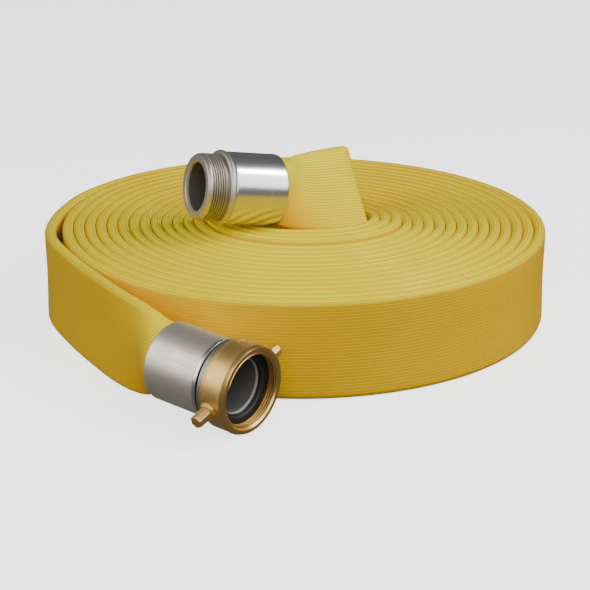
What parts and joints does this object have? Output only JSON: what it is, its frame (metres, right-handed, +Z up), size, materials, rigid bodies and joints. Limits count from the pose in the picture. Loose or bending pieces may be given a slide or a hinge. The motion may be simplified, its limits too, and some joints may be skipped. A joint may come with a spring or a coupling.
{
  "type": "rolled fire hose",
  "caption": "Flat-rolled ribbed lay-flat hose with a pin-lug swivel nut on its outer end and a threaded shank coupling folded over the middle of the roll.",
  "frame": {"origin": "centre of the whole model's box, on the surface that the roll lies on", "axes": "+Z up along the roll's axis, +Y away from the swivel coupling's side, +X to the right when looking along +Y"},
  "size_m": [0.4587, 0.564, 0.1631],
  "materials": {
    "hose": "ribbed glossy yellow nitrile",
    "hose_lining": "smooth black rubber",
    "hose_jacket": "woven polyester yarn",
    "hose_cover": "ribbed glossy yellow nitrile",
    "female_shank": "turned, satin",
    "male_shank": "cast and turned, matte",
    "ferrule": "drawn tube, brushed",
    "thrust_ring": "turned, grey",
    "retaining_wire": "drawn spring wire",
    "swivel_nut": "cast, satin, machined rim",
    "nut_gasket": "moulded black rubber"
  },
  "bodies": {
    "hose": {"hose_roll": "hose", "hose_outer_tail": "hose", "hose_outer_swell": "hose", "hose_inner_riser": "hose", "hose_inner_flap": "hose", "hose_fold_lip": "hose", "female_end_lining": "hose_lining", "male_end_lining": "hose_lining", "female_end_jacket": "hose_jacket", "male_end_jacket": "hose_jacket", "female_end_cover": "hose_cover", "male_end_cover": "hose_cover", "female_shank": "female_shank", "male_shank": "male_shank", "female_ferrule": "ferrule", "male_ferrule": "ferrule", "thrust_ring": "thrust_ring", "retaining_wire": "retaining_wire"},
    "swivel": {"swivel_nut": "swivel_nut", "nut_gasket": "nut_gasket"}
  },
  "joints": [
    {"name": "swivel_spin", "type": "hinge", "parent": "hose", "child": "swivel", "pos_m": [-0.04381, -0.24239, 0.03735], "axis": [0.7853, -0.6157, -0.0645], "continuous": true}
  ]
}
